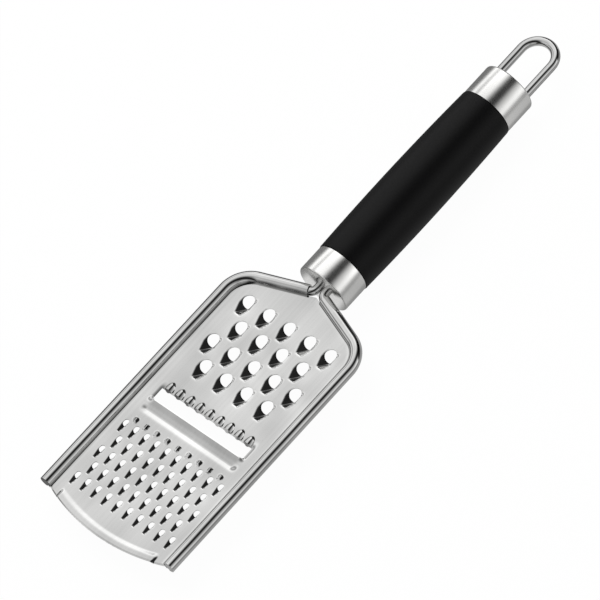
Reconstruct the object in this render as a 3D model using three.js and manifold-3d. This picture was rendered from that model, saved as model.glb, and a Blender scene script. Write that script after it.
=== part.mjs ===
// Hand grater: a stamped steel plate rolled round two frame wires, on a barrel handle with a hanging loop.
// Millimetres. +Z is the cutting side, +Y runs from the tip of the plate to the hanging loop.
// The origin is under the middle of the grater, level with the lowest point of the grip.

import * as THREE from "three";
import { mergeGeometries, mergeVertices } from "three/addons/utils/BufferGeometryUtils.js";
import Module from "manifold-3d";

// Sheet, frame wires and the edges rolled round them
const sheet = 0.5;
const wireDiameter = 3.5;
const rollClearance = 0.4;
const rollRise = 1.4; // wire centre above the top face of the plate
const rollSlitDegrees = 30; // part of the roll left open under the plate
const rollRoot = 0.1; // how far under the plate the roll starts
const plateWidth = 68.9;
const shoulderDegrees = 19.3; // rise of the shoulders towards the neck
const shoulderRadius = 12;
const neckGap = 2.7; // between the ends of the two rolled edges

// Coarse teeth, in staggered rows: each tooth is a round hole with a scoop pressed down towards it
const coarseRows = 4;
const coarseHole = 5.2;
const coarseGap = 5.35; // between neighbouring holes
const coarseTail = 7.5; // from the middle of the hole to the pointed end of the scoop
const coarseDepth = 2;
const coarseLand = 0.25; // between a hole and the next row's tails
const coarseMargin = 5.6; // between the slicer and the first tails
const shoulderMargin = 6.7; // from the last coarse row to the corner of the shoulders

// Fine teeth, made the same way, and the row of raised nicks behind them
const fineRows = 5;
const fineHole = 2.3;
const fineGap = 3.14;
const fineTail = 4.9;
const fineDepth = 0.7;
const fineLand = 0.88;
const nickWidth = 1.5;
const nickLength = 1.9;
const nickHeight = 0.5;
const nickOffset = 2.6; // from the last fine row

// Shape shared by all teeth, and the flat strips left free beside them and before the first fine row
const tailTaper = 1.5; // above 1, a tooth widens late from its pointed tail
const fieldMargin = 2;
const tipMargin = 10.1;

// Slicer: a bend, a blade that rises to the slot, the slot, and a strip with small arches leading to it
const slicerMargin = 7; // from the last fine row
const slicerInset = 5.09; // from the rolled edge
const slotWidth = 6;
const slotEndRamp = 1.7;
const bendLength = 2;
const bendDepth = 0.7;
const bladeLength = 4.7;
const bladeRise = 1.2;
const bladeTear = 1.2; // length over which the slot's end drops from the blade
const approachLength = 4;
const approachDrop = 0.7;
const archWidth = 3;
const archGap = 2.1;
const archLength = 3.2;
const archHeight = 1.4;

// Tip of the plate: a bulging edge, turned up along a curved step
const tipBulge = 5.7;
const lipWidth = 2.2;
const lipStep = 2.1; // length of the sloping step
const lipRise = 0.8;
const lipInset = 4.79; // from the rolled edge
const lipEndRamp = 1.5;

// Handle
const handleRise = 1.5; // handle axis above the top face of the plate
const neckLength = 3.4; // bare wire in front of the handle
const neckPull = 0.45; // share of the neck over which a wire holds its first direction
const wireGap = 0.4; // between the two wires inside the handle
const tangLength = 42;
const ferruleWall = 0.6;
const ferruleEdgeRadius = 1.1;
const frontFerruleLength = 11.8;
const frontFerruleDiameter = 23.3;
const rearFerruleLength = 14.3;
const rearFerruleDiameter = 22.7;
const gripLength = 85.3;
const gripFrontDiameter = 23.7;
const gripMiddleDiameter = 24.8;
const gripRearDiameter = 23;
const gripMiddleOffset = 38; // from the front of the grip to its thickest place
const gripChamfer = 0.4;
const sleeveWall = 3.2; // at the rear end of the grip
const seatGap = 0.15; // between pieces that are pressed together

// Hanging loop
const loopWireDiameter = 3.6;
const loopInset = 1.95; // from the side of the rear ferrule to a leg
const loopLegLength = 16.1; // straight part behind the ferrule
const legFloor = 3.3; // core left between the end of a leg and the grip

// Roundness of the model
const bendStepDegrees = 10;
const wireSides = 12;
const rollSides = 12;
const handleSides = 32;
const coarseSides = 12;
const coarseRings = 3;
const fineSides = 6;
const fineRings = 2;
const holeSides = 8;
const rampSteps = 2;
const lipSteps = 4;
const gripSteps = 4;
const ferruleEdgeSteps = 2;
const lap = 0.4; // overlap of two stretches of the same sheet before they are joined

// Sizes that follow from the ones above
const radians = THREE.MathUtils.degToRad;
const wireRadius = wireDiameter / 2;
const rollInnerRadius = wireRadius + rollClearance;
const rollRadius = rollInnerRadius + sheet;
const rollMiddleRadius = rollInnerRadius + sheet / 2;
const sideX = plateWidth / 2 - rollRadius;
const edgeInset = Math.sqrt(rollMiddleRadius ** 2 - (rollRise + sheet / 2) ** 2);
const edgeX = sideX - edgeInset; // the flat sheet ends inside the wall of the roll
const fieldWidth = 2 * (sideX - rollRadius - fieldMargin);
const coarsePitch = coarseHole + coarseGap;
const finePitch = fineHole + fineGap;
const archPitch = archWidth + archGap;
const coarseRowPitch = coarseTail + coarseHole / 2 + coarseLand;
const fineRowPitch = fineTail + fineHole / 2 + fineLand;
const lastFineY = tipMargin + (fineRows - 1) * fineRowPitch;
const slicerY = lastFineY + slicerMargin;
const bladeEdgeY = slicerY + bendLength + bladeLength;
const approachY = bladeEdgeY + slotWidth;
const slicerEndY = approachY + approachLength;
const windowX = edgeX - slicerInset;
const slotX = windowX - slotEndRamp;
const firstCoarseY = slicerEndY + coarseMargin + coarseTail;
const lastCoarseY = firstCoarseY + (coarseRows - 1) * coarseRowPitch;
const cornerY = lastCoarseY + shoulderMargin;
const shoulderAngle = radians(shoulderDegrees);
const shoulderTurn = Math.PI / 2 - shoulderAngle;
const shoulderX = sideX - shoulderRadius;
const shoulderY = cornerY - shoulderRadius * Math.tan(shoulderTurn / 2);
const neckX = rollRadius + neckGap / 2;
const neckY = cornerY + (sideX - neckX) * Math.tan(shoulderAngle);
const lipDepth = lipWidth + lipStep;
const lipX = edgeX - lipInset - lipEndRamp;
const tipRadius = (edgeX ** 2 + tipBulge ** 2) / (2 * tipBulge);
const tipCentreY = tipRadius - tipBulge;
const frontY = neckY + neckLength;
const gripFrontY = frontY + frontFerruleLength;
const gripRearY = gripFrontY + gripLength;
const gripMiddleY = gripFrontY + gripMiddleOffset;
const rearY = gripRearY + rearFerruleLength;
const waistRadius = gripRearDiameter / 2 - sleeveWall;
const tangX = (wireDiameter + wireGap) / 2;
const loopWireRadius = loopWireDiameter / 2;
const legX = rearFerruleDiameter / 2 - loopInset - loopWireRadius;
const legEndY = gripRearY + legFloor;
const loopBendY = rearY + loopLegLength;
const loopTopY = loopBendY + legX + loopWireRadius;

const wasm = await Module();
wasm.setup();

// A copy with positions only.
function bare(geometry) {
  const copy = geometry.clone();
  copy.deleteAttribute("normal");
  copy.deleteAttribute("uv");
  return copy;
}

function solid(geometry) {
  const merged = mergeVertices(bare(geometry));
  const mesh = new wasm.Mesh({
    numProp: 3,
    vertProperties: merged.attributes.position.array,
    triVerts: new Uint32Array(merged.index.array),
  });
  return new wasm.Manifold(mesh);
}

function geometryOf(body) {
  const mesh = body.getMesh();
  const geometry = new THREE.BufferGeometry();
  geometry.setAttribute("position", new THREE.BufferAttribute(mesh.vertProperties, 3));
  geometry.setIndex(new THREE.BufferAttribute(mesh.triVerts, 1));
  return geometry;
}

function cut(geometry, ...tools) {
  return geometryOf(tools.reduce((body, tool) => body.subtract(solid(tool)), solid(geometry)));
}

// Evenly spaced values after from, up to and including to.
function spread(from, to, count) {
  return Array.from({ length: count }, (_, i) => THREE.MathUtils.lerp(from, to, (i + 1) / count));
}

// A route of curves with one step along each straight run and short steps round each bend.
class SteppedRoute extends THREE.Curve {
  constructor(curves) {
    super();
    this.stations = [];
    curves.forEach((curve, index) => {
      const turn = curve.getTangent(0).angleTo(curve.getTangent(1));
      const steps = Math.max(1, Math.ceil(turn / radians(bendStepDegrees)));
      for (let step = index ? 1 : 0; step <= steps; step++) {
        const share = step / steps;
        this.stations.push({ point: curve.getPoint(share), tangent: curve.getTangent(share) });
      }
    });
    this.steps = this.stations.length - 1;
  }

  getPointAt(share) {
    return this.stations[Math.round(share * this.steps)].point.clone();
  }

  getTangentAt(share) {
    return this.stations[Math.round(share * this.steps)].tangent.clone();
  }
}

// A flat curve lifted to a height, and mirrored where side is -1.
class LiftedCurve extends THREE.Curve {
  constructor(flat, side, height) {
    super();
    this.flat = flat;
    this.side = side;
    this.height = height;
  }

  getPoint(share) {
    const point = this.flat.getPoint(share);
    return new THREE.Vector3(this.side * point.x, point.y, this.height);
  }
}

function sweep(section, curves) {
  const route = new SteppedRoute(curves);
  return new THREE.ExtrudeGeometry(section, { steps: route.steps, extrudePath: route, bevelEnabled: false });
}

// Every route starts towards +Y, where a section's x points down and its y points to -X.
function sectionPoint(across, up) {
  return new THREE.Vector2(-up, -across);
}

function roundSection(radius) {
  const points = [];
  for (let i = 0; i < wireSides; i++) {
    const angle = (2 * Math.PI * i) / wireSides;
    points.push(sectionPoint(radius * Math.cos(angle), radius * Math.sin(angle)));
  }
  return new THREE.Shape(points);
}

// Frame wires and rolled edges share this run: up the side, round the shoulder and in to the neck.
function frameRun(side) {
  const run = new THREE.Path();
  run.moveTo(sideX, 0);
  run.lineTo(sideX, shoulderY);
  run.absarc(shoulderX, shoulderY, shoulderRadius, 0, shoulderTurn);
  run.lineTo(neckX, neckY);
  return run.curves.map((curve) => new LiftedCurve(curve, side, rollRise));
}

// Past the neck a wire climbs to the handle axis, where its tang lies beside the other.
function frameWire(side) {
  const run = frameRun(side);
  const start = run.at(-1).getPoint(1);
  const inward = run.at(-1).getTangent(1);
  const mouth = new THREE.Vector3(side * tangX, frontY, handleRise);
  const reach = neckPull * start.distanceTo(mouth);
  const startPull = start.clone().addScaledVector(inward, reach);
  const mouthPull = mouth.clone().setY(frontY - reach);
  const neck = new THREE.CubicBezierCurve3(start, startPull, mouthPull, mouth);
  const tang = new THREE.LineCurve3(mouth, mouth.clone().setY(frontY + tangLength));
  return sweep(roundSection(wireRadius), [...run, neck, tang]);
}

// The roll starts in the flat sheet, goes up and over the wire, and ends short of the sheet underneath.
function rolledEdge(side) {
  const start = -Math.asin((rollRise + sheet + rollRoot) / rollMiddleRadius);
  const end = start + 2 * Math.PI - radians(rollSlitDegrees);
  const points = [];
  const addArc = (radius, from, to) => {
    for (let i = 0; i <= rollSides; i++) {
      const angle = THREE.MathUtils.lerp(from, to, i / rollSides);
      points.push(sectionPoint(-side * radius * Math.cos(angle), radius * Math.sin(angle)));
    }
  };
  addArc(rollRadius, start, end);
  addArc(rollInnerRadius, end, start);
  return sweep(new THREE.Shape(points), frameRun(side));
}

// The flat of the plate, with a window for the slicer and the tip left to its own formed stretch.
function flatSheet() {
  const endRadius = tipRadius - lipDepth;
  const endAngle = Math.asin(edgeX / endRadius);
  const innerRadius = shoulderRadius - edgeInset;
  const neckEdgeX = neckX - edgeInset * Math.sin(shoulderAngle);
  const neckEdgeY = neckY - edgeInset * Math.cos(shoulderAngle);
  const outline = new THREE.Shape();
  outline.absarc(0, tipCentreY, endRadius, -Math.PI / 2 - endAngle, -Math.PI / 2 + endAngle);
  outline.lineTo(edgeX, shoulderY);
  outline.absarc(shoulderX, shoulderY, innerRadius, 0, shoulderTurn);
  outline.lineTo(neckEdgeX, neckEdgeY);
  outline.quadraticCurveTo(0, neckEdgeY + edgeInset, -neckEdgeX, neckEdgeY);
  outline.absarc(-shoulderX, shoulderY, innerRadius, Math.PI - shoulderTurn, Math.PI);
  const window = new THREE.Path();
  window.moveTo(-windowX, slicerY);
  window.lineTo(-windowX, slicerEndY);
  window.lineTo(windowX, slicerEndY);
  window.lineTo(windowX, slicerY);
  outline.holes.push(window);
  const curveSegments = Math.ceil(shoulderTurn / radians(bendStepDegrees) / 2);
  const flat = new THREE.ExtrudeGeometry(outline, { depth: sheet, bevelEnabled: false, curveSegments });
  return flat.translate(0, 0, -sheet);
}

// A formed stretch of sheet, one sheet thick: a grid with its top face at top(column, row).
// Cells are left open where isOpen says so of their middle.
function formedSheet(columns, rows, top, isOpen) {
  const upper = columns.map((u) => rows.map((v) => top(u, v)));
  const lower = upper.map((line) => line.map((point) => point.clone().setZ(point.z - sheet)));
  const middle = (list, i) => (list[i] + list[i + 1]) / 2;
  const corners = [];
  const addQuad = (a, b, c, d) => corners.push(a, b, c, a, c, d);
  const addWall = (c, r, nextC, nextR) => {
    addQuad(lower[c][r], lower[nextC][nextR], upper[nextC][nextR], upper[c][r]);
  };
  const hasCell = (c, r) => {
    const inside = c >= 0 && r >= 0 && c < columns.length - 1 && r < rows.length - 1;
    return inside && !isOpen(middle(columns, c), middle(rows, r));
  };
  for (let c = 0; c < columns.length - 1; c++) {
    for (let r = 0; r < rows.length - 1; r++) {
      if (!hasCell(c, r)) continue;
      addQuad(upper[c][r], upper[c + 1][r], upper[c + 1][r + 1], upper[c][r + 1]);
      addQuad(lower[c][r], lower[c][r + 1], lower[c + 1][r + 1], lower[c + 1][r]);
      if (!hasCell(c, r - 1)) addWall(c, r, c + 1, r);
      if (!hasCell(c + 1, r)) addWall(c + 1, r, c + 1, r + 1);
      if (!hasCell(c, r + 1)) addWall(c + 1, r + 1, c, r + 1);
      if (!hasCell(c - 1, r)) addWall(c, r + 1, c, r);
    }
  }
  return new THREE.BufferGeometry().setFromPoints(corners);
}

// 1 up to x = half on either side, falling smoothly to 0 over the ramp beyond it.
function fadeOut(x, half, ramp) {
  return 1 - THREE.MathUtils.smoothstep(Math.abs(x), half, half + ramp);
}

function bothSides(distances) {
  return [...distances.map((x) => -x).reverse(), 0, ...distances];
}

// The slicer dips at the bend and climbs to the blade's edge. Past the slot a strip climbs back to the plate.
function slicer() {
  const profile = new Map([
    [slicerY - lap, 0],
    [slicerY, 0],
    [slicerY + bendLength, -bendDepth],
    [bladeEdgeY, bladeRise],
    [bladeEdgeY + bladeTear, -approachDrop],
    [approachY, -approachDrop],
    [slicerEndY, 0],
    [slicerEndY + lap, 0],
  ]);
  const columns = bothSides([slotX, ...spread(slotX, windowX, rampSteps), windowX + lap]);
  const top = (x, y) => new THREE.Vector3(x, y, profile.get(y) * fadeOut(x, slotX, slotEndRamp));
  const isSlot = (x, y) => Math.abs(x) < slotX && y > bladeEdgeY && y < approachY;
  return formedSheet(columns, [...profile.keys()], top, isSlot);
}

// The tip is turned up along a curved step that fades out before the corners.
function tipLip() {
  const rampX = spread(lipX, lipX + lipEndRamp, rampSteps);
  const columns = bothSides([...spread(0, lipX, lipSteps), ...rampX, edgeX]);
  const rows = [0, lipWidth, ...spread(lipWidth, lipDepth, rampSteps), lipDepth + lap];
  const top = (x, depth) => {
    const y = tipCentreY - Math.sqrt((tipRadius - depth) ** 2 - x ** 2);
    const step = 1 - THREE.MathUtils.smoothstep(depth, lipWidth, lipDepth);
    return new THREE.Vector3(x, y, lipRise * step * fadeOut(x, lipX, lipEndRamp));
  };
  return formedSheet(columns, rows, top, () => false);
}

// A pod is turned about Y: pointed at its tail, full width at its mouth, which lies at y = 0.
function pod(width, height, length, sides, rings) {
  const profile = [];
  for (let ring = 0; ring <= rings; ring++) {
    const share = (ring / rings) ** tailTaper;
    const radius = (width / 2) * Math.sqrt(Math.sin((share * Math.PI) / 2));
    profile.push(new THREE.Vector2(radius, (share - 1) * length));
  }
  profile.push(new THREE.Vector2(0, 0));
  return new THREE.LatheGeometry(profile, sides).scale(1, 1, (2 * height) / width);
}

// A hood is the upper half of a pod, rooted in the middle of the sheet.
function hood(width, height, length, sides, rings) {
  const under = new THREE.BoxGeometry(2 * width, 4 * length, 4 * height);
  return cut(pod(width, height, length, sides, rings), under.translate(0, 0, -2 * height - sheet / 2));
}

// A bowl is the lower half of a pod, under the middle of the sheet.
function bowl(width, depth, length, sides, rings) {
  const over = new THREE.BoxGeometry(2 * width, 4 * length, 4 * depth);
  return cut(pod(width, depth, length, sides, rings), over.translate(0, 0, 2 * depth - sheet / 2));
}

function placed(geometry, places) {
  return mergeGeometries(places.map(([x, y, z]) => bare(geometry).translate(x, y, z)));
}

// Places in a row across the plate.
function rowOf(count, pitch, y, z) {
  return Array.from({ length: count }, (_, i) => [(i - (count - 1) / 2) * pitch, y, z]);
}

function fittingCount(width, itemWidth, pitch) {
  return Math.floor((width - itemWidth) / pitch) + 1;
}

// Staggered rows: the one nearest the handle is full, the next has one tooth fewer, and so on.
function staggeredRows(rows, holeWidth, pitch, rowPitch, firstY) {
  const full = fittingCount(fieldWidth, holeWidth, pitch);
  const places = [];
  for (let row = 0; row < rows; row++) {
    const count = full - ((rows - 1 - row) % 2);
    places.push(...rowOf(count, pitch, firstY + row * rowPitch, 0));
  }
  return places;
}

// A field of teeth: bowls under the sheet, the scoops in them, and the holes that the scoops lead to.
function toothField(places, hole, depth, tail, sides, rings) {
  const shell = bowl(hole + 2 * sheet, depth + sheet, tail + sheet, sides, rings);
  const punch = new THREE.CylinderGeometry(hole / 2, hole / 2, 4 * depth, Math.max(sides, holeSides));
  return {
    bowls: placed(shell, places),
    scoops: placed(pod(hole, depth, tail, sides, rings), places),
    punches: placed(punch.rotateX(Math.PI / 2), places),
  };
}

// Small arches along the strip that leads to the slot, open towards the blade.
function arches() {
  const slope = Math.atan(approachDrop / approachLength);
  const places = rowOf(fittingCount(2 * slotX, archWidth, archPitch), archPitch, approachY, -approachDrop);
  const arch = hood(archWidth, archHeight, archLength, fineSides, fineRings);
  const hollow = pod(archWidth - 2 * sheet, archHeight - sheet, archLength, fineSides, fineRings);
  return {
    hoods: placed(arch.rotateZ(Math.PI).rotateX(slope), places),
    hollows: placed(hollow.translate(0, sheet, 0).rotateZ(Math.PI).rotateX(slope), places),
  };
}

function nicks() {
  const count = fittingCount(fieldWidth, fineHole, finePitch) - 1;
  const places = rowOf(count, finePitch, lastFineY + nickOffset + nickLength / 2, 0);
  return placed(hood(nickWidth, nickHeight, nickLength, fineSides, fineRings), places);
}

function graterPlate() {
  const coarsePlaces = staggeredRows(coarseRows, coarseHole, coarsePitch, coarseRowPitch, firstCoarseY);
  const finePlaces = staggeredRows(fineRows, fineHole, finePitch, fineRowPitch, tipMargin);
  const coarse = toothField(coarsePlaces, coarseHole, coarseDepth, coarseTail, coarseSides, coarseRings);
  const fine = toothField(finePlaces, fineHole, fineDepth, fineTail, fineSides, fineRings);
  const arch = arches();
  const stamped = [flatSheet(), slicer(), tipLip(), coarse.bowls, fine.bowls, nicks(), arch.hoods];
  const hollows = [coarse.scoops, fine.scoops, arch.hollows];
  const punches = [coarse.punches, fine.punches];
  const join = (body, piece) => body.add(solid(piece));
  const remove = (body, piece) => body.subtract(solid(piece));
  const pressed = stamped.slice(1).reduce(join, solid(stamped[0]));
  const pierced = [...hollows, ...punches].reduce(remove, pressed);
  return geometryOf([rolledEdge(-1), rolledEdge(1)].reduce(join, pierced));
}

// A drawn cup with its closed end at y = 0 and its mouth at y = length.
function ferruleCup(diameter, length) {
  const radius = diameter / 2;
  const bore = radius - ferruleWall;
  const boreEdge = Math.max(ferruleEdgeRadius - ferruleWall, seatGap);
  const profile = new THREE.Path();
  profile.moveTo(0, 0);
  profile.lineTo(radius - ferruleEdgeRadius, 0);
  profile.absarc(radius - ferruleEdgeRadius, ferruleEdgeRadius, ferruleEdgeRadius, -Math.PI / 2, 0);
  profile.lineTo(radius, length);
  profile.lineTo(bore, length);
  profile.lineTo(bore, ferruleWall + boreEdge);
  profile.absarc(bore - boreEdge, ferruleWall + boreEdge, boreEdge, 0, -Math.PI / 2, true);
  profile.lineTo(0, ferruleWall);
  return new THREE.LatheGeometry(profile.getPoints(ferruleEdgeSteps), handleSides);
}

// The slot that both tangs lie in, from startY backwards.
function tangSlot(startY, length) {
  const radius = wireRadius + seatGap;
  const outline = new THREE.Shape();
  outline.absarc(tangX, 0, radius, -Math.PI / 2, Math.PI / 2);
  outline.absarc(-tangX, 0, radius, Math.PI / 2, (3 * Math.PI) / 2);
  const curveSegments = wireSides / 4;
  const slot = new THREE.ExtrudeGeometry(outline, { depth: length, bevelEnabled: false, curveSegments });
  return slot.rotateX(-Math.PI / 2).translate(0, startY, 0);
}

function legHole(side, length) {
  const radius = loopWireRadius + seatGap;
  const hole = new THREE.CylinderGeometry(radius, radius, length, wireSides);
  return hole.translate(side * legX, legEndY - seatGap + length / 2, 0);
}

function frontFerrule() {
  const cup = ferruleCup(frontFerruleDiameter, frontFerruleLength).translate(0, frontY, 0);
  return cut(cup, tangSlot(frontY - ferruleWall, 3 * ferruleWall));
}

function rearFerrule() {
  const cup = ferruleCup(rearFerruleDiameter, rearFerruleLength).rotateZ(Math.PI).translate(0, rearY, 0);
  const reach = rearFerruleLength + ferruleWall;
  return cut(cup, legHole(-1, reach), legHole(1, reach));
}

// The core is a spool: a spigot in each ferrule and a waist under the sleeve.
function handleCore() {
  const startY = frontY + ferruleWall + seatGap;
  const endY = rearY - ferruleWall - seatGap;
  const frontRadius = frontFerruleDiameter / 2 - ferruleWall - seatGap;
  const rearRadius = rearFerruleDiameter / 2 - ferruleWall - seatGap;
  const chamfer = Math.max(ferruleEdgeRadius - ferruleWall, seatGap);
  const profile = [
    new THREE.Vector2(0, startY),
    new THREE.Vector2(frontRadius - chamfer, startY),
    new THREE.Vector2(frontRadius, startY + chamfer),
    new THREE.Vector2(frontRadius, gripFrontY),
    new THREE.Vector2(waistRadius, gripFrontY),
    new THREE.Vector2(waistRadius, gripRearY),
    new THREE.Vector2(rearRadius, gripRearY),
    new THREE.Vector2(rearRadius, endY - chamfer),
    new THREE.Vector2(rearRadius - chamfer, endY),
    new THREE.Vector2(0, endY),
  ];
  const spool = new THREE.LatheGeometry(profile, handleSides);
  const tangEnd = frontY + tangLength + seatGap;
  const reach = rearFerruleLength;
  return cut(spool, tangSlot(frontY, tangEnd - frontY), legHole(-1, reach), legHole(1, reach));
}

// The grip swells from both ends to its thickest place along two half parabolas.
function gripRadius(y) {
  const atFront = y < gripMiddleY;
  const end = atFront ? gripFrontY : gripRearY;
  const endDiameter = atFront ? gripFrontDiameter : gripRearDiameter;
  const share = (y - gripMiddleY) / (end - gripMiddleY);
  return THREE.MathUtils.lerp(gripMiddleDiameter, endDiameter, share ** 2) / 2;
}

function gripSleeve() {
  const startY = gripFrontY + seatGap;
  const endY = gripRearY - seatGap;
  const bore = waistRadius + seatGap;
  const firstY = startY + gripChamfer;
  const lastY = endY - gripChamfer;
  const stations = [
    firstY,
    ...spread(firstY, gripMiddleY, gripSteps),
    ...spread(gripMiddleY, lastY, gripSteps),
  ];
  const profile = [
    new THREE.Vector2(bore, startY),
    new THREE.Vector2(gripRadius(startY) - gripChamfer, startY),
    ...stations.map((y) => new THREE.Vector2(gripRadius(y), y)),
    new THREE.Vector2(gripRadius(endY) - gripChamfer, endY),
    new THREE.Vector2(bore, endY),
    new THREE.Vector2(bore, startY),
  ];
  return new THREE.LatheGeometry(profile, handleSides);
}

function hangingLoop() {
  const run = new THREE.Path();
  run.moveTo(-legX, legEndY);
  run.lineTo(-legX, loopBendY);
  run.absarc(0, loopBendY, legX, Math.PI, 0, true);
  run.lineTo(legX, legEndY);
  return sweep(roundSection(loopWireRadius), run.curves.map((curve) => new LiftedCurve(curve, 1, 0)));
}

const finishes = {
  stampedSteel: { color: 0xc8c9cb, roughness: 0.28, metalness: 1 },
  polishedWire: { color: 0xd2d3d5, roughness: 0.15, metalness: 1 },
  brushedSteel: { color: 0xc2c1be, roughness: 0.38, metalness: 1 },
  softGrip: { color: 0x1b1b1c, roughness: 0.7, metalness: 0 },
  mouldedCore: { color: 0x2a2a2b, roughness: 0.55, metalness: 0 },
};

function piece(name, geometry, finish) {
  const mesh = new THREE.Mesh(geometry, new THREE.MeshStandardMaterial(finish));
  mesh.name = name;
  return mesh;
}

const head = new THREE.Group();
head.add(piece("grater_plate", graterPlate(), finishes.stampedSteel));
head.add(piece("left_frame_wire", frameWire(-1), finishes.polishedWire));
head.add(piece("right_frame_wire", frameWire(1), finishes.polishedWire));

const handle = new THREE.Group();
handle.position.z = handleRise;
handle.add(piece("front_ferrule", frontFerrule(), finishes.brushedSteel));
handle.add(piece("handle_core", handleCore(), finishes.mouldedCore));
handle.add(piece("grip_sleeve", gripSleeve(), finishes.softGrip));
handle.add(piece("rear_ferrule", rearFerrule(), finishes.brushedSteel));
handle.add(piece("hanging_loop", hangingLoop(), finishes.polishedWire));

const whole = new THREE.Group();
whole.position.set(0, (tipBulge - loopTopY) / 2, gripMiddleDiameter / 2 - handleRise);
whole.add(head, handle);

const grater = new THREE.Group();
grater.add(whole);

export default grater;
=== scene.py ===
# %% [markdown]
# # A flat hand grater
# A stamped steel plate is rolled round two frame wires. The wires run on into a barrel handle with a soft
# grip between two steel ferrules, and a wire loop at the rear hangs the grater on a hook.
# The packed part is loaded first: it fixes the place and size of every piece that follows.

# %% Load the packed part
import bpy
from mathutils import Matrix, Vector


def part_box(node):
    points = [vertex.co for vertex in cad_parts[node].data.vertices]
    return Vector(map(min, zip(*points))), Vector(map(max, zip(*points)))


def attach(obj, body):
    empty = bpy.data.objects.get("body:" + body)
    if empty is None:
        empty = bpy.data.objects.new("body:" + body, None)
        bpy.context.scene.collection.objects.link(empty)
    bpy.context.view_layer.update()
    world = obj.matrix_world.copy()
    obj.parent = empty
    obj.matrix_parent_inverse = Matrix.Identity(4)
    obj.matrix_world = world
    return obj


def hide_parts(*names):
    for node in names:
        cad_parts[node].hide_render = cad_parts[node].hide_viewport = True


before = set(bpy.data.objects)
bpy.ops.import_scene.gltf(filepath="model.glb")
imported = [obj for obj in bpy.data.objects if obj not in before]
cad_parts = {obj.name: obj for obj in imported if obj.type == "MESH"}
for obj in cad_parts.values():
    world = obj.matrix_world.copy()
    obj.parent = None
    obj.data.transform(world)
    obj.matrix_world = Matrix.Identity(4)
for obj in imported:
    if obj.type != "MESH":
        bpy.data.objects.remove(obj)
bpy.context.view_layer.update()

import math

import bmesh
import bpy
import numpy as np
from mathutils import Vector
from mathutils.geometry import interpolate_bezier

scene = bpy.context.scene
print("nodes:", sorted(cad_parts))

# %% [markdown]
# ## Camera
# The photograph was taken from far away through a long lens, from above the tip and to the right.
# A short lens nearby would widen the tip and shrink the loop, so the lens is long here too.
# Place and angles come from fitting the rows of teeth and the handle's rims to the photograph.

# %% Camera
camera = bpy.data.objects.new("camera", bpy.data.cameras.new("camera"))
camera.data.lens = 420
camera.data.clip_end = 20
camera.location = (1.23350, -0.78580, 2.24425)
camera.rotation_euler = [math.radians(angle) for angle in (31.623, 10.651, 41.26)]
scene.collection.objects.link(camera)
scene.camera = camera
scene.view_settings.view_transform = "Standard"
print("camera at", tuple(camera.location), "with a lens of", camera.data.lens, "mm")

# %% [markdown]
# ## Shader sums
# A finish is a small sum: a base value plus a share of some noise. In the node editor each plus sign is a
# Math node. This class wraps a socket, so that the sums can be written as Python and the nodes follow.

# %% A socket that takes part in sums
class Shade:
    """A socket of a node tree, or the bare tree, that can be added, multiplied and so on."""

    def __init__(self, tree, socket=None):
        self.tree = tree
        self.socket = socket

    def make(self, kind, settings=None, values=None, output=0):
        """Adds a node: its settings first, then the values or links of its sockets."""
        node = self.tree.nodes.new(kind)
        for name, value in (settings or {}).items():
            if name == "stops":
                elements = node.color_ramp.elements
                while len(elements) < len(value):
                    elements.new(1)
                for element, (position, level) in zip(elements, value):
                    element.position = position
                    element.color = (level, level, level, 1)
            else:
                setattr(node, name, value)
        for name, value in (values or {}).items():
            if isinstance(value, Shade):
                self.tree.links.new(value.socket, node.inputs[name])
            else:
                node.inputs[name].default_value = value
        return Shade(self.tree, node.outputs[output]) if node.outputs else None

    def output(self, name):
        return Shade(self.tree, self.socket.node.outputs[name])

    def math(self, operation, *terms):
        return self.make("ShaderNodeMath", {"operation": operation}, dict(enumerate(terms)))

    def __add__(self, other):
        return self.math("ADD", self, other)

    def __sub__(self, other):
        return self.math("SUBTRACT", self, other)

    def __rsub__(self, other):
        return self.math("SUBTRACT", other, self)

    def __mul__(self, other):
        return self.math("MULTIPLY", self, other)

    def __truediv__(self, other):
        return self.math("DIVIDE", self, other)

    __radd__ = __add__
    __rmul__ = __mul__


def fresh_nodes(owner):
    """Empties the node tree of a material or world and hands it over."""
    owner.use_nodes = True
    owner.node_tree.nodes.clear()
    return Shade(owner.node_tree)


def ray_is(tree, *kinds):
    """1 where the ray is of one of these kinds."""
    path = tree.make("ShaderNodeLightPath")
    found = path.output(f"Is {kinds[0]} Ray")
    for kind in kinds[1:]:
        found = found.math("MAXIMUM", found, path.output(f"Is {kind} Ray"))
    return found


print("operators for sockets:", [name for name in vars(Shade) if name.startswith("__r")])

# %% [markdown]
# ## Floor
# Product photographs stand on white. The floor is plain white paint, and for rays that the camera sends it
# also glows, which lifts it to white without more light on the grater. A small part of it stays plain
# paint, so a faint shadow of the grater is kept. Shiny surfaces see it glow too, but as a strip of white
# paper on a grey table: the grey draws the dark lines along the outlines of wire and ferrules, as cards do
# in a studio.

# %% Floor
FLOOR_HALF = 4
FLOOR_GLOW = 0.97
FLOOR_COLOUR = (0.9, 0.9, 0.9, 1)
# Metres to the right of the grater's middle, and how bright shiny surfaces see the floor there
TABLE_REACH = 0.2
TABLE = [
    (-0.2, 0.18), (-0.03, 0.18), (-0.019, 0.28), (-0.016, 0.80), (0.003, 0.80), (0.006, 0.30),
    (0.015, 0.35), (0.02, 0.56), (0.055, 0.56), (0.075, 0.36), (0.2, 0.36),
]


def ramp(tree, value, reach, stops):
    """A level that follows stops of (value, level), where the value lies between -reach and reach."""
    places = [(stop / (2 * reach) + 0.5, level) for stop, level in stops]
    return tree.make("ShaderNodeValToRGB", {"stops": places}, {"Fac": value / (2 * reach) + 0.5})


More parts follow.
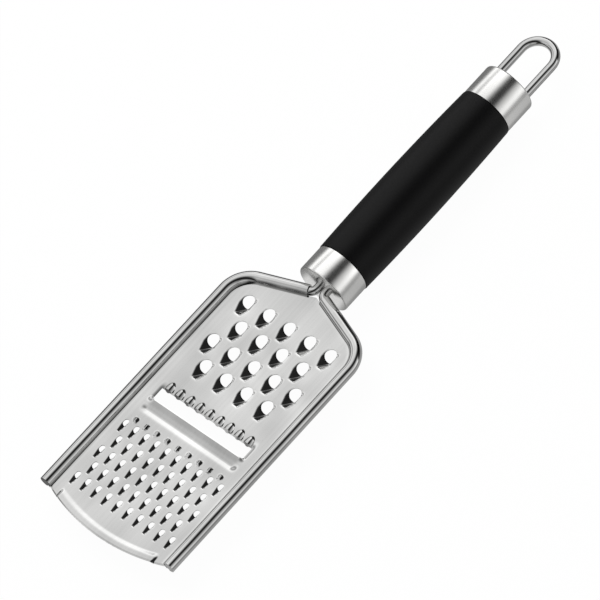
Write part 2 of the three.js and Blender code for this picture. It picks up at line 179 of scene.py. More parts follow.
floor_paint = bpy.data.materials.new("floor_paint")
tree = fresh_nodes(floor_paint)
spot = tree.make("ShaderNodeTexCoord", output="Object")
spot_x = tree.make("ShaderNodeSeparateXYZ", values={"Vector": spot})
table = ramp(tree, spot_x, TABLE_REACH, TABLE)
by_metal = ray_is(tree, "Glossy")
paint = tree.make("ShaderNodeBsdfDiffuse", values={"Color": FLOOR_COLOUR})
glow = tree.make("ShaderNodeEmission", values={"Color": 1 - by_metal + by_metal * table})
glowing = ray_is(tree, "Camera", "Glossy", "Transmission") * FLOOR_GLOW
lifted = tree.make("ShaderNodeMixShader", values={0: glowing, 1: paint, 2: glow})
tree.make("ShaderNodeOutputMaterial", values={"Surface": lifted})

shape = bmesh.new()
bmesh.ops.create_grid(shape, x_segments=2, y_segments=2, size=FLOOR_HALF)
floor = bpy.data.objects.new("floor", bpy.data.meshes.new("floor"))
shape.to_mesh(floor.data)
shape.free()
floor.data.materials.append(floor_paint)
scene.collection.objects.link(floor)
print("floor:", 2 * FLOOR_HALF, "m square")

# %% [markdown]
# ## Studio
# Bright steel shows its surroundings, so the studio is what makes it look like steel. The camera sees
# a white room. Shiny surfaces see bright panels overhead and to the left, a dark gap beside them, more
# panels to the right, and little light beyond the handle. Lamps alone would leave the steel black between
# their reflections, so the panels are painted into the world: one ramp goes round the grater's length, the
# other along it.

# %% Studio
BRIGHTEST = 1.6
PLAIN_LEVEL = 0.6
# Degrees round the grater's length, from overhead towards the right, and how bright it is there
PANELS_ROUND = [
    (-180, 0.20), (-90, 0.20), (-82, 0.35), (-74, 1.15), (-67, 1.55), (-60, 1.05), (-51, 0.48),
    (-42, 1.60), (-29, 1.22), (-18, 1.30), (-8, 1.00), (-1, 0.52), (6, 0.16), (12, 0.03), (32, 0.02),
    (38, 0.20), (47, 0.52), (59, 0.80), (66, 1.05), (78, 1.20), (90, 0.60), (98, 0.26), (180, 0.32),
]
# How far the direction points along the grater, from the tip side to the handle side, and how bright it is
PANELS_ALONG = [
    (-1, 0.40), (-0.77, 0.80), (-0.60, 0.85), (-0.50, 0.75), (-0.42, 0.58), (-0.22, 0.82), (0, 0.95),
    (0.29, 1.00), (0.50, 1.15), (0.62, 1.30), (0.71, 1.45), (0.75, 0.80), (0.78, 0.12), (0.85, 0.04),
    (1, 0.03),
]

world = bpy.data.worlds.new("studio")
scene.world = world
tree = fresh_nodes(world)
heading = tree.make("ShaderNodeTexCoord", output="Generated")
aim = tree.make("ShaderNodeSeparateXYZ", values={"Vector": heading})
angle_round = aim.math("ARCTAN2", aim.output("X"), aim.output("Z"))
round_stops = [(math.radians(degrees), level / BRIGHTEST) for degrees, level in PANELS_ROUND]
along_stops = [(share, level / BRIGHTEST) for share, level in PANELS_ALONG]
round_level = ramp(tree, angle_round, math.pi, round_stops)
along_level = ramp(tree, aim.output("Y"), 1, along_stops)
panels = round_level * along_level * BRIGHTEST ** 2
by_camera = ray_is(tree, "Camera", "Transmission")
by_metal = ray_is(tree, "Glossy")
strength = by_camera + by_metal * panels + (1 - by_camera - by_metal) * PLAIN_LEVEL
sky = tree.make("ShaderNodeBackground", values={"Color": (1, 1, 1, 1), "Strength": strength})
tree.make("ShaderNodeOutputWorld", values={"Surface": sky})
print("studio:", len(PANELS_ROUND), "stops round the grater,", len(PANELS_ALONG), "along it")

# %% [markdown]
# ## Lamp
# One large soft lamp overhead, a little to the left, shapes the dark grip. Shiny surfaces don't see it,
# because the studio already gives them their panels.

# %% Lamp
lamp = bpy.data.objects.new("soft_lamp", bpy.data.lights.new("soft_lamp", "AREA"))
lamp.data.shape = "DISK"
lamp.data.size = 1.2
lamp.data.energy = 14
lamp.location = (-0.7, 0.3, 1.4)
lamp.rotation_euler = (-lamp.location).to_track_quat("-Z", "Y").to_euler()
lamp.visible_camera = False
lamp.visible_glossy = False
scene.collection.objects.link(lamp)
print("lamp:", lamp.data.energy, "W")

# %% [markdown]
# ## Finishes
# All the steel here is the same kind of metal, but each piece was worked in its own way. Rolled sheet has
# faint streaks along the strip, drawn wire is smooth, and the ferrules were brushed on a lathe, so their
# lines run round the handle. Stretched noise on Object coordinates gives all three: it is squeezed across
# the lines. A broader noise clouds the tone and bends the reflections, since no worked metal is quite even.
# The ferrules' base colour is lighter than the other steel's: that is painted brightness, standing in for
# the stronger light that they catch.

# %% Helpers for finishes
def noise(tree, stretch, detail=2):
    """Noise on the object's own metres: a larger number squeezes it more along that axis."""
    place = tree.make("ShaderNodeTexCoord", output="Object")
    squeezed = tree.make("ShaderNodeMapping", values={"Vector": place, "Scale": stretch})
    return tree.make("ShaderNodeTexNoise", values={"Vector": squeezed, "Scale": 1, "Detail": detail})


def shades(tree, share, first, last):
    """A colour between two others. Inputs 6 and 7 and output 2 are the Mix node's sockets for colours."""
    ends = {0: share, 6: (*first, 1), 7: (*last, 1)}
    return tree.make("ShaderNodeMix", {"data_type": "RGBA"}, ends, output=2)


def finish_of(name, tree_of):
    """A material whose surface is what tree_of makes."""
    material = bpy.data.materials.new(name)
    tree = fresh_nodes(material)
    tree.make("ShaderNodeOutputMaterial", values={"Surface": tree_of(tree)})
    print("finish:", name, "with", len(material.node_tree.nodes), "nodes")
    return material


# %% Steel
LINE_SHARE = 0.3


def steel(dark, light, smooth, rough, lines, clouds, depth):
    """Metal whose lines and clouds vary its colour. Lines also vary its gloss, and clouds dent it."""
    def surface(tree):
        line = noise(tree, lines)
        cloud = noise(tree, clouds, detail=0)
        bend = tree.make("ShaderNodeBump", values={"Strength": 1, "Distance": depth, "Height": cloud})
        return tree.make("ShaderNodeBsdfPrincipled", values={
            "Metallic": 1,
            "Base Color": shades(tree, line * LINE_SHARE + cloud * (1 - LINE_SHARE), dark, light),
            "Roughness": line * (rough - smooth) + smooth,
            "Normal": bend,
        })
    return surface


stamped_steel = finish_of("stamped_steel", steel(
    dark=(0.36, 0.36, 0.357), light=(0.63, 0.63, 0.623), smooth=0.04, rough=0.09,
    lines=(900, 14, 900), clouds=(75, 55, 75), depth=0.0003))
wire_steel = finish_of("wire_steel", steel(
    dark=(0.42, 0.42, 0.417), light=(0.54, 0.54, 0.535), smooth=0.05, rough=0.09,
    lines=(600, 20, 600), clouds=(150, 40, 150), depth=0.00004))
# The ferrules' lathe lines are real, but their lighter base colour is painted brightness for the stronger
# light they catch
ferrule_steel = finish_of("ferrule_steel", steel(
    dark=(0.64, 0.64, 0.63), light=(0.92, 0.915, 0.90), smooth=0.19, rough=0.26,
    lines=(12, 3200, 12), clouds=(90, 90, 90), depth=0.00002))

# %% [markdown]
# ## Soft grip and core
# The grip is dull black rubber with a fine speckle, and the hidden core is a plain dark moulding.
# Both are noise again, now the same in every direction.

# %% Grip and core
FINE_SHARE = 0.6
BROAD_GRAIN = 45
GRAIN_STRENGTH = 0.6


def dull(dark, light, smooth, rough, shine, grain, depth):
    """Rubber or plastic with a fine even grain."""
    def surface(tree):
        fine = noise(tree, (grain, grain, grain), detail=3)
        broad = noise(tree, (BROAD_GRAIN, BROAD_GRAIN, BROAD_GRAIN))
        pores = {"Strength": GRAIN_STRENGTH, "Distance": depth, "Height": fine}
        return tree.make("ShaderNodeBsdfPrincipled", values={
            "Base Color": shades(tree, fine * FINE_SHARE + broad * (1 - FINE_SHARE), dark, light),
            "Roughness": fine * (rough - smooth) + smooth,
            "Specular IOR Level": shine,
            "Normal": tree.make("ShaderNodeBump", values=pores),
        })
    return surface


soft_grip = finish_of("soft_grip", dull(
    dark=(0.0009, 0.0009, 0.001), light=(0.0022, 0.0022, 0.0024), smooth=0.40, rough=0.52,
    shine=0.16, grain=2600, depth=0.00005))
moulded_core = finish_of("moulded_core", dull(
    dark=(0.018, 0.018, 0.019), light=(0.030, 0.030, 0.032), smooth=0.42, rough=0.58,
    shine=0.4, grain=900, depth=0.00003))
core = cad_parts["handle_core"]
for place in core.material_slots:
    place.material = moulded_core
print("core:", [place.material.name for place in core.material_slots])

# %% [markdown]
# ## From millimetres to the part
# The pieces are drawn in millimetres, with y counted from the line of the two wire ends at the tip and
# z from the top face of the plate. One helper then moves and shrinks a shape into the part's frame, smooths
# it up to its creases, and lets it ride on the part in place of its CAD node.

# %% Placing helper
MM = 0.001
TIP_LINE = Vector((0, -128.353, 10.9))
CREASE = math.radians(35)


def place_piece(name, shape, finish, node):
    """Makes a shape a piece of the part, in place of a CAD node, and prints how it fits that node's box."""
    bmesh.ops.translate(shape, vec=TIP_LINE, verts=shape.verts)
    bmesh.ops.scale(shape, vec=(MM, MM, MM), verts=shape.verts)
    for face in shape.faces:
        face.smooth = True
    for edge in shape.edges:
        edge.smooth = edge.calc_face_angle(0) < CREASE
    piece = bpy.data.objects.new(name, bpy.data.meshes.new(name))
    shape.to_mesh(piece.data)
    shape.free()
    piece.data.materials.append(finish)
    scene.collection.objects.link(piece)
    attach(piece, "root")
    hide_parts(node)
    points = np.array([vertex.co for vertex in piece.data.vertices])
    solid_low, solid_high = (np.array(corner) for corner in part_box(node))
    over = max((solid_low - points.min(axis=0)).max(), (points.max(axis=0) - solid_high).max())
    print(f"{name}: {len(piece.data.polygons)} faces, {over / MM:.2f} mm past the box of {node}")


print("the line of the wire ends lies at", tuple(TIP_LINE), "mm in the part")

# %% [markdown]
# ## The plate's outline and holes
# The plate is one sheet. Its tip is an arc, its sides are straight, and its shoulders turn in to the neck
# round a corner arc. Teeth and slot are holes in it. All of this is one sum, the margin: how many
# millimetres of metal lie between a point and the nearest edge, with a minus sign where there is no metal.

# %% Margin of metal
EDGE_X = 30.06
TIP_RADIUS = 81.9
TIP_CENTRE_Y = 76.4
SHOULDER_X, SHOULDER_Y = 19.8, 103.857
SHOULDER_TURN = math.radians(70.7)
SLOT_X = 23.27
BLADE_Y, APPROACH_Y = 51.52, 57.52
SLOT_MIDDLE_Y = (BLADE_Y + APPROACH_Y) / 2


def staggered(counts, pitch, first_y, row_pitch):
    """Middles of holes in rows that are each centred, so that rows of unlike counts are staggered."""
    places = []
    for row, count in enumerate(counts):
        places += [((i - (count - 1) / 2) * pitch, first_y + row * row_pitch) for i in range(count)]
    return places


# half is half the width of a hole, oval lengthens it both ways, and tail is how far its scoop reaches
COARSE = dict(half=2.6, oval=0, tail=7.4)
COARSE["places"] = staggered((4, 5, 4, 5), pitch=10.55, first_y=74.62, row_pitch=10.35)
FINE = dict(half=1.15, oval=0.3, tail=4.9)
FINE["places"] = staggered((10, 9, 10, 9, 10), pitch=5.44, first_y=10.1, row_pitch=6.93)


def from_roll(x, y):
    """How far a point is from the edge that is rolled: the sides and the shoulders."""
    corner_x, corner_y = np.abs(x) - SHOULDER_X, y - SHOULDER_Y
    facing = np.clip(np.arctan2(corner_y, corner_x), 0, SHOULDER_TURN)
    return EDGE_X - SHOULDER_X - corner_x * np.cos(facing) - corner_y * np.sin(facing)


def from_tip(x, y):
    """How far a point is from the curved edge of the tip."""
    return TIP_RADIUS - np.hypot(x, y - TIP_CENTRE_Y)


def margin(x, y):
    """How far a point is from the nearest edge, below 0 where there is no metal."""
    metal = np.minimum(from_roll(x, y), from_tip(x, y))
    past_x = np.abs(x) - SLOT_X
    past_y = np.abs(y - SLOT_MIDDLE_Y) - (APPROACH_Y - BLADE_Y) / 2
    metal = np.minimum(metal, np.maximum(past_x, past_y))
    for teeth in (COARSE, FINE):
        for hole_x, hole_y in teeth["places"]:
            long_y = np.maximum(np.abs(y - hole_y) - teeth["oval"], 0)
            metal = np.minimum(metal, np.hypot(x - hole_x, long_y) - teeth["half"])
    return metal


print("holes:", len(COARSE["places"]), "coarse and", len(FINE["places"]), "fine")

# %% [markdown]
# ## The plate's relief
# The press also gives the sheet its height. Each tooth is a scoop that falls to its hole between a slanting
# side and a steep one, and the sheet dishes a little round it. The blade of the slicer dips and climbs to
# the slot, small arches lead to it from the other side, and small nicks follow the last row of fine teeth.
# The tip is turned up along a curved step, and a fillet leads to the rolled edges. Each is a simple sum,
# and together they give the height of the sheet at a point.

# %% Scoops
# slope, steep and fall are the slopes of a scoop's left side, right side and floor. tip and width are half
# its width at the tail and at the hole, soft rounds its corners, and dish and spread shape the dent round it
COARSE |= dict(slope=0.53, steep=1.5, tip=1.4, width=2.9, fall=0.43, soft=0.12, dish=0.26, spread=3.3)
FINE |= dict(slope=0.52, steep=1.5, tip=0.7, width=1.2, fall=0.55, soft=0.07, dish=0.09, spread=1.7)
# Where scoops fade out, in half widths of their hole past its middle
SCOOP_FADE = -0.3, 1.1


def fade(value, start, end):
    """1 before start, 0 past end, and smooth between them."""
    share = np.clip((value - start) / (end - start), 0, 1)
    return 1 - share * share * (3 - 2 * share)


def above_zero(value, soft):
    """The value where it is above 0, else 0, with a soft corner between."""
    corner = (np.clip(value, -soft, soft) + soft) ** 2 / (4 * soft)
    return np.where(value > soft, value, corner)


def scoops(x, y, teeth):
    """How deep the scoops of the teeth are."""
    depth = np.zeros_like(x)
    for hole_x, hole_y in teeth["places"]:
        across, along = x - hole_x, y - hole_y
        run = along + teeth["tail"]
        floor_depth = teeth["fall"] * run
        widening = np.clip(run / (teeth["tail"] - teeth["half"]), 0, 1)
        reach = teeth["tip"] + (teeth["width"] - teeth["tip"]) * widening
        side_depth = np.minimum(teeth["slope"] * (reach + across), teeth["steep"] * (reach - across))
        lower = floor_depth - above_zero(floor_depth - side_depth, teeth["soft"])
        depth += above_zero(lower, teeth["soft"]) * fade(along / teeth["half"], *SCOOP_FADE)
        far = (across / teeth["spread"]) ** 2 + ((along + teeth["half"]) / teeth["spread"]) ** 2
        depth += teeth["dish"] * np.exp(-far / 2)
    return depth


tooth_x, tooth_y = COARSE["places"][0]
mouth_depth = scoops(np.array([tooth_x]), np.array([tooth_y - COARSE["half"]]), COARSE)
print("depth of a coarse scoop where it meets its hole:", round(float(mouth_depth[0]), 2), "mm")

# %% Arches and nicks
ARCHES = dict(half=1.9, tail=3.3, height=1.5, foot=0.1, towards=-1)
ARCHES["places"] = staggered([9], pitch=5.1, first_y=APPROACH_Y + 0.55, row_pitch=0)
NICKS = dict(half=0.85, tail=2.2, height=0.6, foot=0.06, towards=1)
NICKS["places"] = staggered([9], pitch=5.44, first_y=41.37, row_pitch=0)
# How steeply a hood ends past its mouth, and the least share of its swell, so that nothing is divided by 0
HOOD_FALL = 3
LEAST_SWELL = 0.002


def hoods(x, y, teeth):
    """Small hoods that climb from a pointed tail to a mouth at each place."""
    height = np.zeros_like(x)
    for mouth_x, mouth_y in teeth["places"]:
        across, along = (x - mouth_x) / teeth["half"], (y - mouth_y) * teeth["towards"]
        swell = np.sqrt(np.sin(np.clip(1 + along / teeth["tail"], LEAST_SWELL, 1) * math.pi / 2))
        raw = teeth["height"] * (swell - across ** 2 / swell) - HOOD_FALL * np.maximum(along, 0)
        height += above_zero(raw - np.maximum(-along - teeth["tail"], 0), teeth["foot"])
    return height


print("arches:", len(ARCHES["places"]), "and nicks:", len(NICKS["places"]))

# %% Slicer, lip, fillet and the whole relief
# Places along the grater and the height of the sheet there, with its corners eased by this length
SLICER = [
    (44.65, 0), (47.1, -0.68), (49.3, 0), (BLADE_Y, 0.87), (52.1, -0.7), (APPROACH_Y, -0.7), (61.52, 0),
]
SLICER_EASE = 0.2
SLOT_FADE = 21.6, 25.0
LIP_WIDTH, LIP_DEPTH, LIP_RISE = 2.1, 4.05, 0.53
LIP_X, LIP_RAMP = 23.77, 1.5
TIP_DROP, TIP_DROP_WIDTH = 0.3, 0.6
FILLET_WIDTH, FILLET_SLOPE = 2.6, 0.29


def relief(x, y):
    """The height of the sheet at a point."""
    steps = [np.interp(y + shift, *zip(*SLICER)) for shift in (-SLICER_EASE, 0, SLICER_EASE)]
    height = sum(steps) / len(steps) * fade(np.abs(x), *SLOT_FADE)
    depth = from_tip(x, y)
    lift = np.clip((LIP_DEPTH - depth) / (LIP_DEPTH - LIP_WIDTH), 0, 1)
    height += LIP_RISE * lift * fade(np.abs(x), LIP_X, LIP_X + LIP_RAMP)
    height -= TIP_DROP * fade(depth, 0, TIP_DROP_WIDTH)
    turned_up = np.clip(FILLET_WIDTH - from_roll(x, y), 0, FILLET_WIDTH)
    height += FILLET_SLOPE / 2 / FILLET_WIDTH * turned_up ** 2
    height += hoods(x, y, ARCHES) + hoods(x, y, NICKS)
    return height - scoops(x, y, COARSE) - scoops(x, y, FINE)


blade_height = relief(np.zeros(1), np.array([BLADE_Y]))
print("height of the sheet at the blade's edge:", round(float(blade_height[0]), 2), "mm")

# %% [markdown]
# ## The pressed sheet
# A grid is laid out and its cells are halved wherever the press worked the sheet, twice at the smallest
# forms, so that flat metal costs few faces. The cells that fall into holes are taken away, and the points
# along the cuts slide to the true edge. The relief then lifts every point, and solidify gives the sheet its
# half millimetre. Boolean cuts would need a solid for each hole and would leave long thin triangles.

# %% Cells
SHEET = 0.5
SHEET_TOP_Y = 121.7
CELLS_X, CELLS_Y = 70, 148
# Zones of smaller cells: round the slicer, from the tip's edge inwards, and round each place of some teeth
SLICER_SIDE = SLOT_X + 2.2
SLICER_ZONE = 44, 62.4
LIP_ZONE, TIP_ZONE = LIP_DEPTH + 0.8, 1
COARSE_ZONE = dict(side=3.8, behind=8.4, ahead=3.3)
FINE_ZONE = dict(side=1.9, behind=5.6, ahead=2.1)
FINEST_ZONE = dict(side=1.6, behind=5.3, ahead=1.7)
NICK_ZONE = dict(side=1.2, behind=2.5, ahead=0.8)
ARCH_ZONE = dict(side=2.2, behind=0.9, ahead=3.5)


def close_to(x, y, teeth, side, behind, ahead):
    """True near the places of these teeth."""
    found = np.zeros(x.shape, dtype=bool)
    for place_x, place_y in teeth["places"]:
        found |= (np.abs(x - place_x) < side) & (y > place_y - behind) & (y < place_y + ahead)
    return found


def worked(x, y):
    """True where the press worked the sheet."""
    slicer = (np.abs(x) < SLICER_SIDE) & (y > SLICER_ZONE[0]) & (y < SLICER_ZONE[1])
    edges = (from_tip(x, y) < LIP_ZONE) | (from_roll(x, y) < FILLET_WIDTH)
    return slicer | edges | close_to(x, y, COARSE, **COARSE_ZONE) | close_to(x, y, FINE, **FINE_ZONE)


def delicate(x, y):
    """True at the smallest forms."""
    small = close_to(x, y, NICKS, **NICK_ZONE) | close_to(x, y, ARCHES, **ARCH_ZONE)
    return small | close_to(x, y, FINE, **FINEST_ZONE) | (from_tip(x, y) < TIP_ZONE)


def middles(shape):
    """The x and y of the cells' middles."""
    return np.array([face.calc_center_median().xy for face in shape.faces]).T


def halve(shape, wanted):
    """Halves the cells where wanted says so."""
    chosen = wanted(*middles(shape))
    shape.faces.index_update()
    edges = [edge for edge in shape.edges if any(chosen[face.index] for face in edge.link_faces)]
    bmesh.ops.subdivide_edges(shape, edges=edges, cuts=1, use_grid_fill=True)


plate = bmesh.new()
bmesh.ops.create_grid(plate, x_segments=CELLS_X, y_segments=CELLS_Y, size=1)
low_y = TIP_CENTRE_Y - TIP_RADIUS
half_y = (SHEET_TOP_Y - low_y) / 2
bmesh.ops.scale(plate, vec=(EDGE_X, half_y, 1), verts=plate.verts)
bmesh.ops.translate(plate, vec=(0, low_y + half_y, 0), verts=plate.verts)
halve(plate, worked)
halve(plate, delicate)
print("sheet:", len(plate.faces), "cells")

# %% Holes, edges, relief and thickness
EDGE_PASSES = 4
PROBE = 0.01
# In a corner the margin has hardly any slope, so the step to the edge is kept short there
LEAST_SLOPE = 0.5
MERGE = 0.02

bare = margin(*middles(plate)) < 0
gone = [face for face, empty in zip(plate.faces, bare) if empty]
bmesh.ops.delete(plate, geom=gone, context="FACES")
rim = [vertex for vertex in plate.verts if vertex.is_boundary]
x, y = np.array([vertex.co.xy for vertex in rim]).T
for _ in range(EDGE_PASSES):
    metal = margin(x, y)
    slope_x = (margin(x + PROBE, y) - margin(x - PROBE, y)) / (2 * PROBE)
    slope_y = (margin(x, y + PROBE) - margin(x, y - PROBE)) / (2 * PROBE)
    steep = np.maximum(slope_x ** 2 + slope_y ** 2, LEAST_SLOPE)
    x, y = x - metal * slope_x / steep, y - metal * slope_y / steep
for vertex, edge_x, edge_y in zip(rim, x, y):
    vertex.co.xy = edge_x, edge_y
bmesh.ops.remove_doubles(plate, verts=rim, dist=MERGE)
x, y = np.array([vertex.co.xy for vertex in plate.verts]).T
for vertex, height in zip(plate.verts, relief(x, y)):
    vertex.co.z = height
bmesh.ops.recalc_face_normals(plate, faces=plate.faces)
bmesh.ops.solidify(plate, geom=plate.faces[:], thickness=SHEET)
print("pressed sheet:", len(plate.faces), "faces")

# %% [markdown]
# ## Rolled edges
# Both long edges of the sheet are rolled round the frame wires, up and over, and stop short of the sheet
# underneath. One point spun round the wire's middle gives the open ring of the roll. It is then pulled
# along the wire's run: up the side, round the shoulder and in to the neck, turning as it goes.

# %% Pulling helper and the run of the frame
SIDE_X = 31.8
WIRE_Z = 1.4
SHOULDER_RADIUS = 12
NECK = Vector((4.0, 122.11, WIRE_Z))
BEND_STEPS = 18


def pull(shape, edges, stops):
    """Extrudes edges from stop to stop. A stop is a point and the direction of the run there."""
    for (here, before), (there, after) in zip(stops, stops[1:]):
        made = bmesh.ops.extrude_edge_only(shape, edges=edges)["geom"]
        points = [part for part in made if isinstance(part, bmesh.types.BMVert)]
        edges = [part for part in made if isinstance(part, bmesh.types.BMEdge)]
        bmesh.ops.translate(shape, vec=there - here, verts=points)
        turn = before.rotation_difference(after).to_matrix()
        bmesh.ops.rotate(shape, cent=there, matrix=turn, verts=points)


def frame_run(side):
    """Stops of a frame wire from the tip to the neck."""
    stops = [(Vector((side * SIDE_X, 0, WIRE_Z)), Vector((0, 1, 0)))]
    for step in range(BEND_STEPS + 1):
        angle = SHOULDER_TURN * step / BEND_STEPS
        sine, cosine = math.sin(angle), math.cos(angle)
        bend_x, bend_y = SHOULDER_X + SHOULDER_RADIUS * cosine, SHOULDER_Y + SHOULDER_RADIUS * sine
        stops.append((Vector((side * bend_x, bend_y, WIRE_Z)), Vector((-side * sine, cosine, 0))))
    stops.append((Vector((side * NECK.x, NECK.y, NECK.z)), stops[-1][1]))
    return stops


print("stops of the frame:", len(frame_run(1)))

# %% Rolled edges and the finished plate
ROLL_RADIUS = 2.55
ROLL_START = math.radians(56.4)
ROLL_TURN = math.radians(330)
ROLL_STEPS = 44


def add_roll(shape, side):
    """Adds the rolled edge on one side."""
    flat_faces = set(shape.faces)
    stops = frame_run(side)
    middle = stops[0][0]
    reach = Vector((-side * math.cos(ROLL_START), 0, -math.sin(ROLL_START))) * ROLL_RADIUS
    first = shape.verts.new(middle + reach)
    old_edges = set(shape.edges)
    bmesh.ops.spin(shape, geom=[first], cent=middle, axis=(0, side, 0), angle=ROLL_TURN, steps=ROLL_STEPS)
    pull(shape, [edge for edge in shape.edges if edge not in old_edges], stops)
    roll = [face for face in shape.faces if face not in flat_faces]
    shape.normal_update()
    inward = [face for face in roll if face.normal.dot(face.calc_center_median() - middle) < 0]
    if 2 * len(inward) > len(roll):
        bmesh.ops.reverse_faces(shape, faces=roll)
    bmesh.ops.solidify(shape, geom=roll, thickness=SHEET)


for side in (-1, 1):
    add_roll(plate, side)
place_piece("stamped_plate", plate, stamped_steel, "grater_plate")

# %% [markdown]
# ## Frame wires
# Past the neck the rolls end, and the two bare wires bend to lie side by side and run into the handle.
# A Bezier curve takes each wire from the slope of its shoulder to the straight tang inside the handle.

# %% Frame wires
WIRE_RADIUS = 1.85
WIRE_SIDES = 32
TANG_X = 1.95
HANDLE_Z = 1.5
FRONT_Y = 125.51
TANG_LENGTH = 42
NECK_PULL = 0.45
NECK_STEPS = 12


def bent_wire(stops, radius):
    """A solid wire through the stops, which starts along the grater."""
    shape = bmesh.new()
    middle = stops[0][0]
    first = shape.verts.new(middle + Vector((radius, 0, 0)))
    bmesh.ops.spin(shape, geom=[first], cent=middle, axis=(0, 1, 0), angle=math.tau,
                   steps=WIRE_SIDES, use_merge=True)
    pull(shape, shape.edges[:], stops)
    bmesh.ops.holes_fill(shape, edges=shape.edges, sides=WIRE_SIDES)
    bmesh.ops.recalc_face_normals(shape, faces=shape.faces)
    return shape


def frame_wire(side):
    """The wire of one side, from the tip to the end of its tang."""
    stops = frame_run(side)
    start, inward = stops[-1]
    mouth = Vector((side * TANG_X, FRONT_Y, HANDLE_Z))
    reach = NECK_PULL * (mouth - start).length
    handles = start + inward * reach, mouth - Vector((0, reach, 0))
    curve = interpolate_bezier(start, *handles, mouth, NECK_STEPS)
    for before, point, after in zip(curve, curve[1:], curve[2:]):
        stops.append((point, (after - before).normalized()))
    stops.append((mouth, Vector((0, 1, 0))))
    stops.append((mouth + Vector((0, TANG_LENGTH, 0)), Vector((0, 1, 0))))
    return bent_wire(stops, WIRE_RADIUS)


for side, name in ((-1, "left"), (1, "right")):
    place_piece(f"{name}_wire", frame_wire(side), wire_steel, f"{name}_frame_wire")

# %% [markdown]
# ## Ferrules
# A ferrule is a drawn cup: a tube with one closed end and a rounded rim. A cup's profile is spun round the
# handle's axis, and a bevel rounds the rim, as the drawing die does.

# %% Turning helpers
TURN_STEPS = 96
NEAR = 0.001


def turned(profile):
    """A profile of (radius, y) points spun round the handle's axis."""
    shape = bmesh.new()
    points = [shape.verts.new((radius, y, 0)) for radius, y in profile]
    lines = [shape.edges.new(pair) for pair in zip(points, points[1:])]
    bmesh.ops.spin(shape, geom=points + lines, cent=(0, 0, 0), axis=(0, 1, 0), angle=math.tau,
                   steps=TURN_STEPS, use_merge=True)
    bmesh.ops.remove_doubles(shape, verts=shape.verts, dist=NEAR)
    return shape


def round_rim(shape, radius, y, size, steps):
    """Bevels the circle of that radius at y."""
    def on_rim(point):
        return abs(point.y - y) < NEAR and abs(math.hypot(point.x, point.z) - radius) < NEAR
    rim = [edge for edge in shape.edges if all(on_rim(vertex.co) for vertex in edge.verts)]
    bmesh.ops.bevel(shape, geom=rim, offset=size, affect="EDGES", segments=steps, profile=0.5, material=-1)


def raise_to_handle(shape):
    """Moves a turned shape up to the handle's axis and points its faces out."""
    bmesh.ops.translate(shape, vec=(0, 0, HANDLE_Z), verts=shape.verts)
    bmesh.ops.recalc_face_normals(shape, faces=shape.faces)


print("turned shapes have", TURN_STEPS, "sides")

# %% Ferrules
FRONT_RADIUS, REAR_RADIUS = 11.65, 11.35
GRIP_FRONT_Y, GRIP_REAR_Y, REAR_Y = 137.31, 222.61, 236.91
FERRULE_WALL = 0.6
RIM_RADIUS, RIM_STEPS = 0.75, 6
INNER_STEPS = 3
MOUTH_EDGE, MOUTH_STEPS = 0.12, 2


def ferrule(radius, closed_y, mouth_y):
    """A cup with its closed end at one y and its mouth at the other."""
    inner = radius - FERRULE_WALL
    floor_y = closed_y + math.copysign(FERRULE_WALL, mouth_y - closed_y)
    outside = [(0, closed_y), (radius, closed_y), (radius, mouth_y)]
    inside = [(inner, mouth_y), (inner, floor_y), (0, floor_y)]
    shape = turned(outside + inside)
    round_rim(shape, radius, closed_y, RIM_RADIUS, RIM_STEPS)
    round_rim(shape, inner, floor_y, RIM_RADIUS - FERRULE_WALL, INNER_STEPS)
    round_rim(shape, radius, mouth_y, MOUTH_EDGE, MOUTH_STEPS)
    raise_to_handle(shape)
    return shape


front_cup = ferrule(FRONT_RADIUS, FRONT_Y, GRIP_FRONT_Y)
rear_cup = ferrule(REAR_RADIUS, REAR_Y, GRIP_REAR_Y)
place_piece("front_cup", front_cup, ferrule_steel, "front_ferrule")
place_piece("rear_cup", rear_cup, ferrule_steel, "rear_ferrule")

# %% [markdown]
# ## Soft grip
# The grip swells from both ends to its thickest place, nearer the front. Two half parabolas give the swell,
# and the profile is spun like the ferrules, with its bore, so that it is a real sleeve.

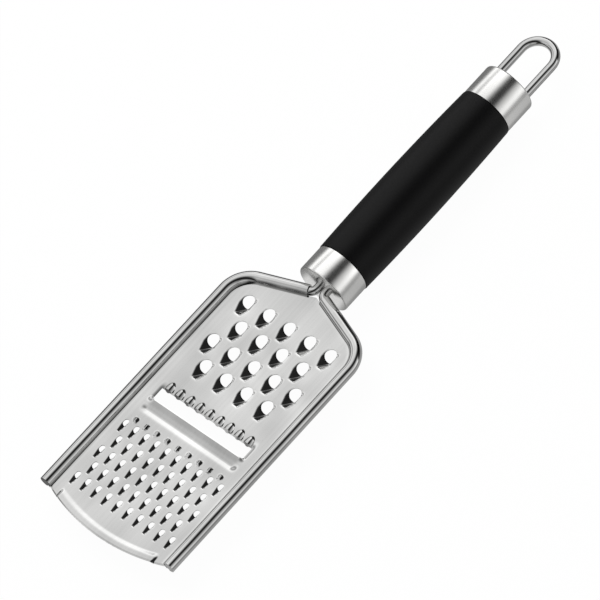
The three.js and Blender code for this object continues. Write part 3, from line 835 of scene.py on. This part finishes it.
# %% Soft grip
GRIP_GAP = 0.15
GRIP_MIDDLE_Y = 175.31
GRIP_RADII = {"front": 11.85, "middle": 12.4, "rear": 11.5}
GRIP_BORE = 8.45
GRIP_STATIONS = 28
GRIP_EDGE, GRIP_EDGE_STEPS = 0.4, 4


def grip_radius(y):
    """The grip's radius at y."""
    end_y, end = (GRIP_FRONT_Y, "front") if y < GRIP_MIDDLE_Y else (GRIP_REAR_Y, "rear")
    share = (y - GRIP_MIDDLE_Y) / (end_y - GRIP_MIDDLE_Y)
    return GRIP_RADII["middle"] + (GRIP_RADII[end] - GRIP_RADII["middle"]) * share ** 2


first_y, last_y = GRIP_FRONT_Y + GRIP_GAP, GRIP_REAR_Y - GRIP_GAP
stations = [(grip_radius(y), y) for y in np.linspace(first_y, last_y, GRIP_STATIONS)]
sleeve = turned([(GRIP_BORE, first_y), *stations, (GRIP_BORE, last_y), (GRIP_BORE, first_y)])
for end_y in (first_y, last_y):
    round_rim(sleeve, grip_radius(end_y), end_y, GRIP_EDGE, GRIP_EDGE_STEPS)
raise_to_handle(sleeve)
place_piece("soft_sleeve", sleeve, soft_grip, "grip_sleeve")

# %% [markdown]
# ## Hanging loop
# A length of wire bent like a hairpin, with both legs set into the rear ferrule. It is the same pull as the
# frame wires, along one leg, round the bend and back down the other.

# %% Hanging loop
LOOP_RADIUS = 1.9
LEG_X = 7.6
LEG_END_Y = 225.91
LOOP_BEND_Y = 252.91
LOOP_STEPS = 36

stops = [(Vector((-LEG_X, LEG_END_Y, HANDLE_Z)), Vector((0, 1, 0)))]
for step in range(LOOP_STEPS + 1):
    angle = math.pi * step / LOOP_STEPS
    sine, cosine = math.sin(angle), math.cos(angle)
    bend = Vector((-LEG_X * cosine, LOOP_BEND_Y + LEG_X * sine, HANDLE_Z))
    stops.append((bend, Vector((sine, cosine, 0))))
stops.append((Vector((LEG_X, LEG_END_Y, HANDLE_Z)), Vector((0, -1, 0))))
place_piece("hang_loop", bent_wire(stops, LOOP_RADIUS), wire_steel, "hanging_loop")

# %% [markdown]
# ## Sizes
# The dressed part must not outgrow its solids; each piece above prints how far it reaches past its solid's
# box.
